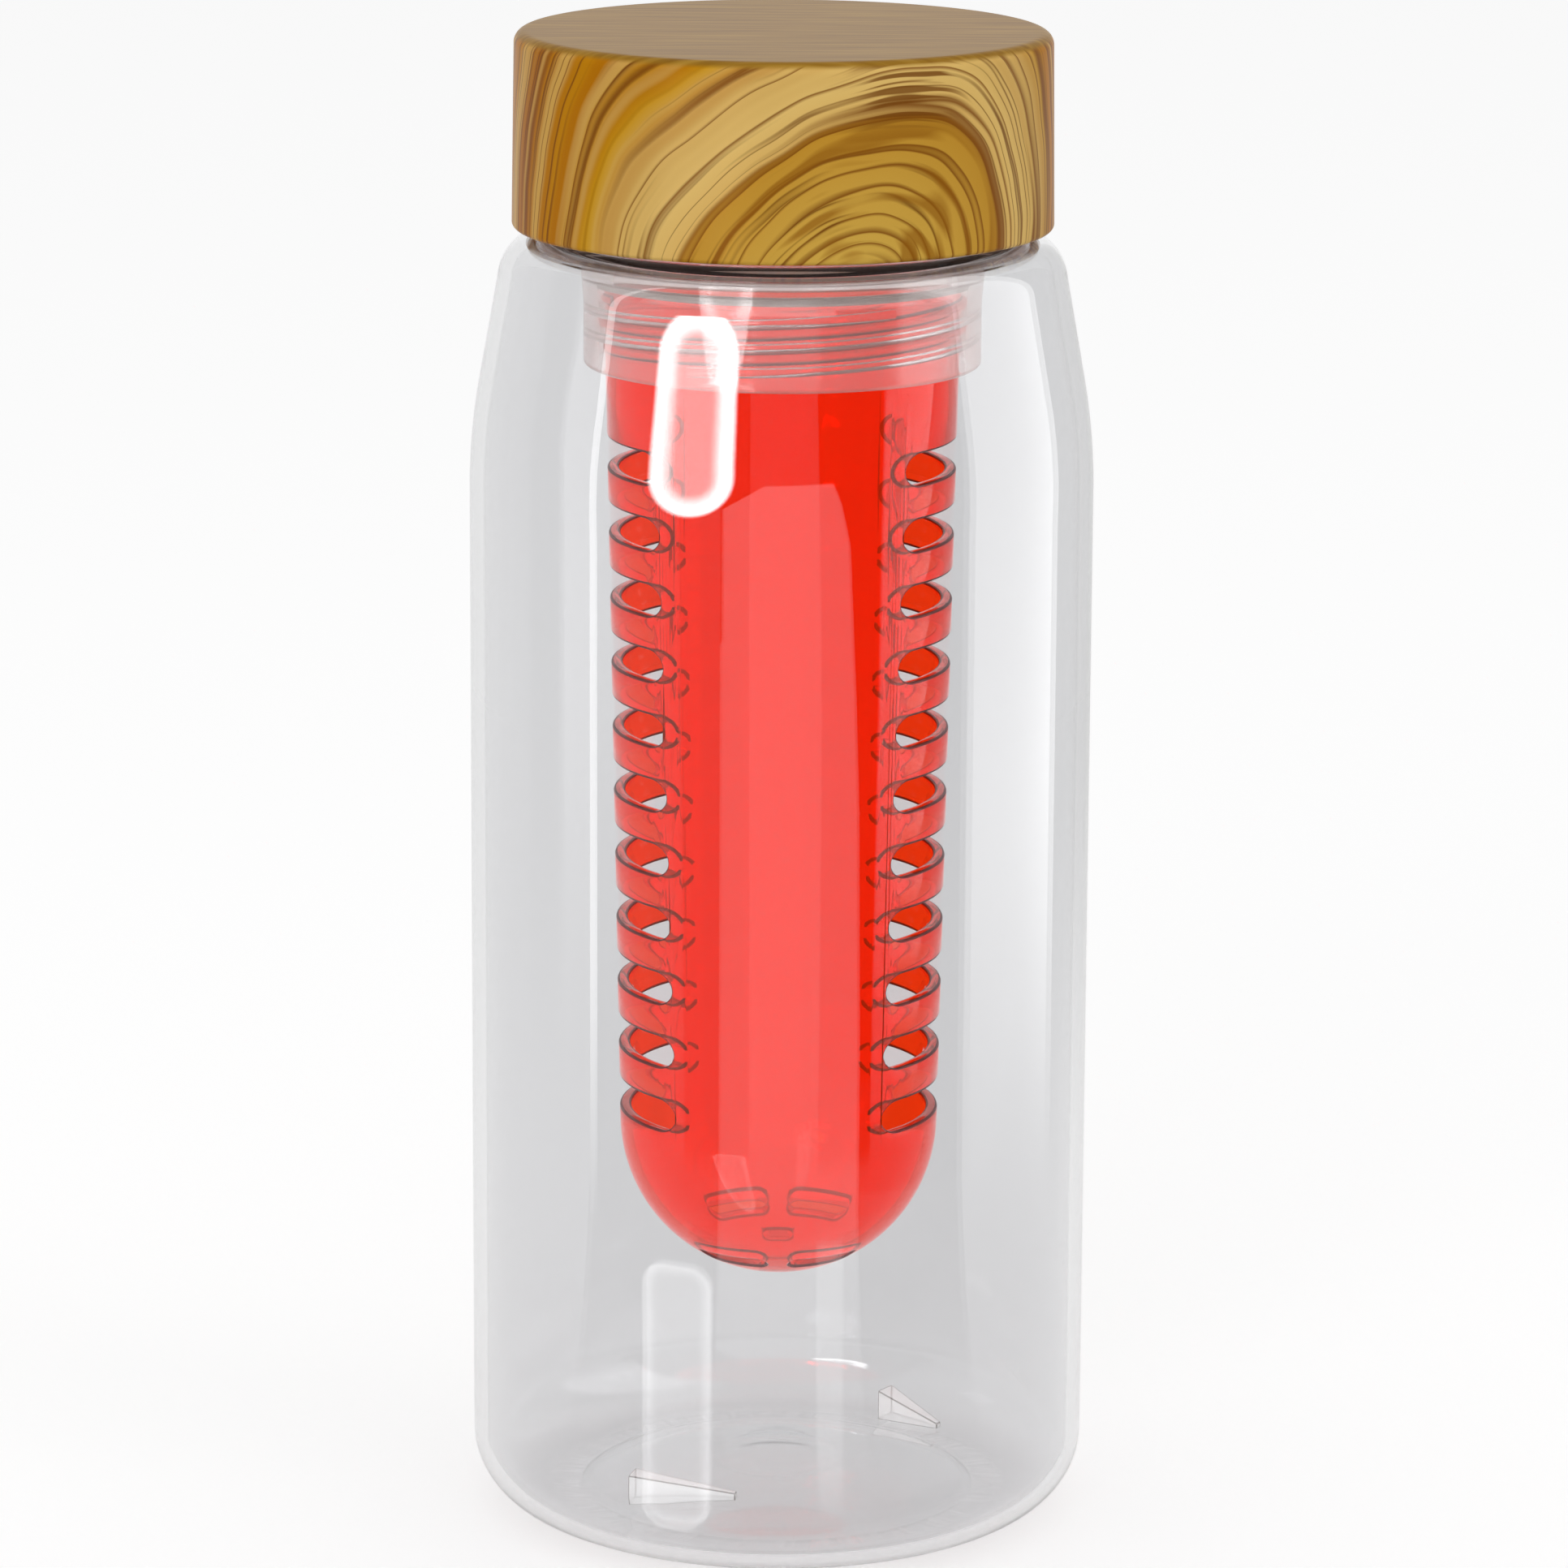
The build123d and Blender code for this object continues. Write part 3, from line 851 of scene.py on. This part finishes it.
def make_liner():
    step = COLLAR_SEAT + STEP_RISE
    step_run = COLLAR_RADIUS - UPPER_RADIUS
    skirt_foot = SHELL_FOOT + SKIRT_GAP
    piece = turned(
        "frosted_liner",
        rounded(
            [
                (0, LINER_TOP, 0),
                (SKIRT_RADIUS, LINER_TOP, LINER_EDGE),
                (SKIRT_RADIUS, skirt_foot, SKIRT_EDGE),
                (SKIRT_BORE, skirt_foot, SKIRT_EDGE),
                (SKIRT_BORE, CEILING, CEILING_EDGE),
                (UPPER_RADIUS, CEILING, STEP_EDGE),
                (UPPER_RADIUS, step + step_run, STEP_EDGE),
                (COLLAR_RADIUS, step, STEP_EDGE),
                (COLLAR_RADIUS, COLLAR_MOUTH, LINER_EDGE),
                (COLLAR_BORE, COLLAR_MOUTH, LINER_EDGE),
                (COLLAR_BORE, COLLAR_SEAT, SEAT_EDGE),
                (SEAT_BORE, COLLAR_SEAT, SEAT_EDGE),
                (SEAT_BORE, CEILING, STEP_EDGE),
                (0, CEILING, 0),
            ]
        ),
        FINE_TURN,
    )
    low = skirt_foot + SKIRT_THREAD_RISE
    skirt_ridges = thread(
        "skirt", SKIRT_BORE, SKIRT_CREST, NECK_PITCH, NECK_THREAD_TOP + NECK_PITCH / 2,
        low, low + SKIRT_THREAD_HEIGHT,
    )
    low = COLLAR_MOUTH + COLLAR_THREAD_RISE
    collar_ridges = thread(
        "collar", COLLAR_BORE, COLLAR_CREST, INFUSER_PITCH, COLLAR_PHASE,
        low, low + COLLAR_THREAD_HEIGHT,
    )
    combine(piece, skirt_ridges + collar_ridges, "UNION")
    return piece


def make_ring(name, node_name, inner):
    """A silicone ring of its CAD node's height and outer radius, a hair clear of its seats."""
    low, high = [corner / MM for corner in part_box(node_name)]
    low.z += SEAL_GAP
    high.z -= SEAL_GAP
    outer = high.x
    middle = (low.z + high.z) / 2
    corners = [
        (inner, middle, 0), (inner, low.z, SEAL_EDGE), (outer, low.z, SEAL_EDGE),
        (outer, high.z, SEAL_EDGE), (inner, high.z, SEAL_EDGE), (inner, middle, 0),
    ]
    return turned(name, rounded(corners))


def make_infuser(*materials):
    """The basket, with a painted dark red on the rounded edges of its slots."""
    draft = radians(DRAFT)
    taper_top = INFUSER_RIM - STRAIGHT_LENGTH
    radius_at_bottom = INFUSER_RADIUS - (taper_top - INFUSER_BOTTOM) * tan(draft)
    dome_radius = cos(draft) * radius_at_bottom / (1 - sin(draft))
    dome = (0, INFUSER_BOTTOM + dome_radius)

    def joint_height(ball):
        """Where the narrowing wall of a round end of this radius meets the straight part."""
        side = INFUSER_RADIUS - (dome_radius - ball)
        return dome[1] - ball * sin(draft) + (side - ball * cos(draft)) / tan(draft)

    ball = dome_radius - INFUSER_WALL
    inner_radius = INFUSER_RADIUS - INFUSER_WALL
    outline = arc(dome, dome_radius, -90, -DRAFT)
    outline += rounded(
        [
            (INFUSER_RADIUS, joint_height(dome_radius), 0),
            (INFUSER_RADIUS, INFUSER_RIM, RIM_EDGE),
            (inner_radius, INFUSER_RIM, RIM_EDGE),
            (inner_radius, joint_height(ball), 0),
        ]
    )
    outline += arc(dome, ball, -DRAFT, -90)
    piece = turned("red_infuser", outline, FINE_TURN)

    first = COLLAR_MOUTH - TOP_SLOT_DROP
    last = dome[1] + LOW_SLOT_RISE
    pitch = (first - last) / (SLOT_COUNT - 1)
    combine(piece, [slot_cutter(first, pitch)], "DIFFERENCE")
    combine(piece, drain_cutters(dome_radius), "DIFFERENCE")
    top = INFUSER_RIM - INFUSER_THREAD_DROP
    phase = COLLAR_PHASE + INFUSER_PITCH / 2
    ridges = thread(
        "infuser", INFUSER_RADIUS, INFUSER_CREST, INFUSER_PITCH, phase,
        top - INFUSER_THREAD_HEIGHT, top,
    )
    combine(piece, ridges, "UNION")
    select_only(piece)
    bpy.ops.object.mode_set(mode="EDIT")
    bpy.ops.mesh.select_all(action="SELECT")
    bpy.ops.mesh.remove_doubles(threshold=SAME_EDGE * MM)
    bpy.ops.object.mode_set(mode="OBJECT")
    coat(piece, *materials)
    soften(piece, SLOT_EDGE, segments=2, angle=40, clamp=False, material=EDGE_PLACE)
    return piece


def slot_cutter(first, pitch):
    """Round-ended bars along X, one under the other."""
    deselect()
    bpy.ops.mesh.primitive_cube_add(
        size=1, location=(0, 0, first * MM),
        scale=(2 * BODY_RADIUS * MM, 2 * SLOT_HALF_WIDTH * MM, SLOT_HEIGHT * MM),
    )
    cutter = bpy.context.object
    bpy.ops.object.transform_apply(location=True, rotation=True, scale=True)
    bpy.ops.object.mode_set(mode="EDIT")
    bpy.ops.mesh.select_mode(type="EDGE")
    bpy.ops.mesh.select_all(action="DESELECT")
    bpy.ops.object.mode_set(mode="OBJECT")
    points = cutter.data.vertices
    for edge in cutter.data.edges:
        a, b = (points[i].co for i in edge.vertices)
        edge.select = abs(a.x - b.x) > BODY_RADIUS * MM
    bpy.ops.object.mode_set(mode="EDIT")
    bpy.ops.mesh.bevel(
        offset=SLOT_HEIGHT / 2 * MM * SLOT_ROUND_SHARE, segments=SLOT_STEPS, affect="EDGES"
    )
    bpy.ops.object.mode_set(mode="OBJECT")
    apply_modifier(
        cutter, "ARRAY", count=SLOT_COUNT, use_relative_offset=False, use_constant_offset=True,
        constant_offset_displace=(0, 0, -pitch * MM),
    )
    return cutter


def drain_cutters(dome_radius):
    """Curved bars with round ends, which stand up through the bottom of the dome."""
    cutters = []
    ring, small_ring = dome_radius * DRAIN_RING, dome_radius * SMALL_DRAIN_RING
    drains = [
        (ring, DRAIN_SPAN, DRAIN_WIDTH, side + turn)
        for side in (90, 270) for turn in (-DRAIN_TURN, DRAIN_TURN)
    ]
    drains += [(small_ring, SMALL_DRAIN_SPAN, SMALL_DRAIN_WIDTH, side) for side in (90, 270)]
    for ring_radius, span, width, middle in drains:
        end = width / 2 / ring_radius * 180 / pi

        def place(station, outer, upper):
            angle = (span / 2 + end) * sin(pi * (station / DRAIN_STEPS - 0.5))
            past = max(0, abs(angle) - span / 2) / end
            half = width / 2 * max(DRAIN_TIP, 1 - past ** 2) ** 0.5
            radius = ring_radius + (half if outer else -half)
            height = INFUSER_BOTTOM + (dome_radius if upper else -DRAIN_OVERRUN)
            return around(radius, middle + angle, height)

        cutter = bar("drain", DRAIN_STEPS)
        wrap(cutter, place)
        cutters.append(cutter)
    return cutters


def dress_everything():
    frosted = make_natural_polypropylene()
    silicone = make_silicone()
    bottle = make_bottle(make_clear_copolyester(), *make_lug_glint_materials())
    bottle.visible_shadow = False
    dress(bottle, "bottle", "clear_plastic", None, "bottle_body", "bottle_neck")
    dress(make_shell(), "lid", "wood_look_plastic", make_wood_print(), "lid_shell")
    dress(make_liner(), "lid", "frosted_plastic", frosted, "lid_liner")
    gasket = make_ring("lid_gasket_ring", "lid_seal", GASKET_BORE)
    dress(gasket, "lid_gasket", "silicone", silicone, "lid_seal")
    washer = make_ring("infuser_washer_ring", "infuser_seal", WASHER_BORE)
    dress(washer, "infuser_washer", "silicone", silicone, "infuser_seal")
    infuser = make_infuser(make_red_styrene(), make_red_painted_dark_edges())
    dress(infuser, "basket", "red_plastic", None, "infuser")


# Studio


def showing_rays(tree):
    """1 for rays from the camera, in reflections and through clear walls, 0 for all others."""
    rays = node(tree, "ShaderNodeLightPath").outputs
    seen = node(
        tree, MATH, {"operation": "MAXIMUM"}, {0: rays["Is Camera Ray"], 1: rays["Is Glossy Ray"]}
    )
    return node(tree, MATH, {"operation": "MAXIMUM"}, {0: seen, 1: rays["Is Transmission Ray"]})


def make_floor():
    """White table top. It is pure white to the camera, and keeps the bottle's soft shadow."""
    width, depth, middle = 5.0, 5.7, 2.15       # metres
    deselect()
    bpy.ops.mesh.primitive_plane_add(size=1, location=(0, middle, 0))
    floor = bpy.context.object
    floor.name = "table_top"
    floor.scale = (width, depth, 1)
    bpy.ops.object.transform_apply(location=True, rotation=True, scale=True)
    material, tree = new_material("white_laminate_table")
    paint = node(tree, "ShaderNodeBsdfDiffuse", {}, {"Color": (0.62, 0.62, 0.62, 1)})
    strength = node(tree, MATH, {"operation": "MULTIPLY"}, {0: showing_rays(tree), 1: 0.55})
    glow = node(tree, "ShaderNodeEmission", {}, {"Color": WHITE, "Strength": strength})
    both = node(tree, "ShaderNodeAddShader", {}, {0: paint, 1: glow})
    node(tree, OUTPUT, {}, {"Surface": both})
    floor.data.materials.append(material)


def make_world():
    world = bpy.data.worlds.new("white_studio")
    bpy.context.scene.world = world
    world.use_nodes = True
    tree = world.node_tree
    tree.nodes.clear()
    strength = node(
        tree, MATH, {"operation": "MULTIPLY_ADD"}, {0: showing_rays(tree), 1: 0.4, 2: 0.6}
    )
    sky = node(tree, "ShaderNodeBackground", {}, {"Color": WHITE, "Strength": strength})
    node(tree, "ShaderNodeOutputWorld", {}, {"Surface": sky})


def area_light(name, place, size, radiance):
    """A soft box aimed at the bottle, unseen in reflections. The radiance sets its power."""
    light = bpy.data.lights.new(name, "AREA")
    light.shape = "RECTANGLE"
    light.size, light.size_y = size
    light.energy = radiance * pi * size[0] * size[1]
    lamp = bpy.data.objects.new(name, light)
    bpy.context.scene.collection.objects.link(lamp)
    lamp.location = place
    lamp.rotation_euler = (LIGHT_AIM - Vector(place)).to_track_quat("-Z", "Z").to_euler()
    lamp.visible_camera = False
    lamp.visible_glossy = False
    lamp.visible_transmission = False


def polar(azimuth, distance, height):
    """A place by its direction from the front, positive to the right, in degrees and metres."""
    turn = radians(azimuth)
    return Vector((distance * sin(turn), -distance * cos(turn), height))


def board(
    name, rows, strength, seen="all", fade=0, rim_strength=None, width=1, height=1, rounding=1
):
    """A white or grey board that the camera doesn't see, but reflections do.

    Seen by "mirrors" it is left out of the straight view through a clear wall too, and seen by
    "skin" only the outermost surface shows it. Its foot fades away over a share of its height.
    Its rows run upwards, each from one (direction, distance, height) to another. With
    rim_strength it is a lamp with rounded corners and a bright rim; width, height and rounding
    are its face's."""
    deselect()
    bpy.ops.mesh.primitive_grid_add(
        x_subdivisions=BOARD_COLUMNS, y_subdivisions=len(rows) - 1, size=1
    )
    piece = bpy.context.object
    piece.name = name
    for vertex in piece.data.vertices:
        first, last = rows[round((vertex.co.y + 0.5) * (len(rows) - 1))]
        across = vertex.co.x + 0.5
        vertex.co = polar(*(a + (b - a) * across for a, b in zip(first, last)))
    material, tree = new_material(name)
    rays = node(tree, "ShaderNodeLightPath").outputs
    shown = 1.0
    if seen != "all":
        shown = node(tree, MATH, {"operation": "MINIMUM"}, {0: rays["Glossy Depth"], 1: 1.0})
    if seen == "skin":
        inside = node(
            tree, MATH, {"operation": "MINIMUM"}, {0: rays["Transmission Depth"], 1: 1.0}
        )
        shown = node(
            tree, MATH, {"operation": "SUBTRACT", "use_clamp": True}, {0: shown, 1: inside}
        )
    if fade:
        face = node(tree, "ShaderNodeTexCoord").outputs["UV"]
        rise = node(tree, "ShaderNodeSeparateXYZ", {}, {0: face}).outputs[1]
        foot = node(tree, MAP_RANGE, SMOOTHLY, {"Value": rise, "From Max": fade})
        shown = node(tree, MATH, {"operation": "MULTIPLY"}, {0: shown, 1: foot})
    if rim_strength:
        middle, shape = lamp_face(tree, width, height, rounding)
        strength = node(
            tree, MATH, {"operation": "MULTIPLY_ADD"},
            {0: middle, 1: strength - rim_strength, 2: rim_strength},
        )
        shown = node(tree, MATH, {"operation": "MULTIPLY"}, {0: shown, 1: shape})
    glow = node(tree, "ShaderNodeEmission", {}, {"Color": WHITE, "Strength": strength})
    clear = node(tree, "ShaderNodeBsdfTransparent")
    mixed = node(tree, "ShaderNodeMixShader", {}, {0: shown, 1: clear, 2: glow})
    node(tree, OUTPUT, {}, {"Surface": mixed})
    piece.data.materials.append(material)
    piece.visible_camera = False
    piece.visible_diffuse = False
    piece.visible_volume_scatter = False
    piece.visible_shadow = False


def lamp_face(tree, width, height, rounding):
    """Masks for a lamp's middle and for its whole face, from its own UV map."""
    face = node(tree, "ShaderNodeTexCoord").outputs["UV"]
    centred = node(
        tree, "ShaderNodeMapping", {},
        {"Vector": face, "Location": (-width / 2, -height / 2, 0), "Scale": (width, height, 0)},
    )
    size = node(tree, VECTOR_MATH, {"operation": "ABSOLUTE"}, {0: centred})
    straight = (width / 2 - rounding, height / 2 - rounding, 0)
    past = node(tree, VECTOR_MATH, {"operation": "SUBTRACT"}, {0: size, 1: straight})
    past = node(tree, VECTOR_MATH, {"operation": "MAXIMUM"}, {0: past, 1: (0, 0, 0)})
    reach = node(tree, VECTOR_MATH, {"operation": "LENGTH"}, {0: past}).outputs["Value"]
    return [
        node(
            tree, MAP_RANGE, SMOOTHLY,
            {
                "Value": reach, "From Min": inner * rounding, "From Max": outer * rounding,
                "To Min": 1.0, "To Max": 0.0,
            },
        )
        for inner, outer in (LAMP_RIM_SHARES, LAMP_EDGE_SHARES)
    ]


def standing(first, last, distance, low, high):
    """Rows of a board that stands upright, from one direction to another."""
    return [((first, distance, height), (last, distance, height)) for height in (low, high)]


def lying(first_line, last_line, height=TABLE_SHEET):
    """Rows of a board that lies on the table between two lines of (direction, distance)."""
    return [((*first, height), (*last, height)) for first, last in zip(first_line, last_line)]


def make_lights():
    area_light("front_softbox", (-0.9, -2.1, 0.95), (1.4, 1.2), 3.0)
    area_light("side_softbox", (1.7, -0.9, 0.9), (1.0, 1.0), 1.8)
    # The dim room behind the camera, and its window
    board("dark_room", standing(-68, 68, ROOM, 0.0, 1.5), 0.03)
    board("high_window", standing(-60, 60, WINDOW, 0.30, 0.56), 1.2)
    # White board under the camera, with its top corner cut, between two flags. Each row gives
    # a height in millimetres and a direction for its left end, then the same for its right one.
    white_rows = [
        (0, -19.7, 0, 27.2), (24, -19.7, 24, 27.2), (61, -19.6, 61, 26.4), (78, -19.5, 78, 25.2),
        (98, -19.4, 98, 23.2), (126, -19.3, 130, 19.8), (142.4, -5.8, 143.7, 17.2),
    ]
    board(
        "white_board",
        [((a, FRONT, z1 * MM), (b, FRONT, z2 * MM)) for z1, a, z2, b in white_rows], 1.1,
    )
    board("flag_left", standing(-68, -20, FLAG, 0.0, FLAG_TOP), 0.35)
    board("flag_right", standing(20, 66, FLAG, 0.0, FLAG_TOP), 0.03)
    # The same flags on the table, which keep its white out of the basket's round end
    for side, near, far, strength in (("left", -68, -20, 0.35), ("right", 27, 66, 0.15)):
        rows = lying([(near, 0.06), (near, FLAG)], [(far, 0.06), (far, FLAG)], TABLE_SHEET / 2)
        board("table_flag_" + side, rows, strength, "mirrors", fade=0.95)
    board("strip_left", standing(-62, -65, SIDE, 0.005, 0.35), 5.0, "skin", fade=0.15)
    # White boards on both sides
    board("board_right", standing(66, 109, SIDE, 0.0, SIDE_TOP), 2.6, "mirrors", fade=0.2)
    board("shade_right", standing(109, 155, SIDE, 0.0, SIDE_TOP), 0.8, "mirrors", fade=0.2)
    board("board_left", standing(-67, -155, SIDE, 0.0, SIDE_TOP), 0.95, "mirrors", fade=0.2)
    # The lamp's reflection stands on the shoulder, so its rows crowd together towards its top
    lamp_rows = [
        (118, 122.5), (135.5, 140.5), (152.5, 158.5), (168.5, 174.5), (175.5, 180.5),
        (180, 184.8), (184.5, 189), (190, 195),
    ]
    board(
        "ring_lamp",
        [((-45.3, LAMP, left * MM), (-15, LAMP, right * MM)) for left, right in lamp_rows],
        4.5, rim_strength=22.0, width=100, height=256, rounding=49,
    )
    # The same lamp and a window, as the polished table throws them back
    lamp_left = [
        (-30, 0.044), (-38.4, 0.075), (-40.8, 0.090), (-42.7, 0.107),
        (-44, 0.124), (-45, 0.141), (-46, 0.159), (-46.5, 0.177),
    ]
    lamp_right = [
        (-15, 0.044), (-18, 0.075), (-18.9, 0.090), (-19.7, 0.107),
        (-20.3, 0.124), (-20.8, 0.141), (-21.1, 0.159), (-21.4, 0.177),
    ]
    board(
        "ring_lamp_in_table", lying(lamp_left, lamp_right), 1.9, "mirrors",
        rim_strength=3.6, width=88, height=325, rounding=30,
    )
    window_left = [(11, 0.05), (12, 0.10), (13, 0.19)]
    window_right = [(15, 0.05), (20, 0.10), (22, 0.19)]
    board("window_in_table", lying(window_left, window_right), 1.9, "mirrors", fade=0.4)


def make_camera():
    """The photograph's own view: far off, looking down at the bottle, and leaning a little."""
    down, lean = 12.977, 0.3        # degrees
    place = (0.0005, -0.8926, 0.3016)
    lens = bpy.data.cameras.new("camera")
    lens.lens = 162.38
    lens.sensor_width = 36
    camera = bpy.data.objects.new("camera", lens)
    bpy.context.scene.collection.objects.link(camera)
    turn = Matrix.Rotation(radians(90 - down), 4, "X") @ Matrix.Rotation(radians(lean), 4, "Z")
    camera.matrix_world = Matrix.Translation(place) @ turn
    bpy.context.scene.camera = camera


make_camera()
make_world()
make_lights()
make_floor()
dress_everything()

bpy.context.scene.view_settings.view_transform = "Standard"
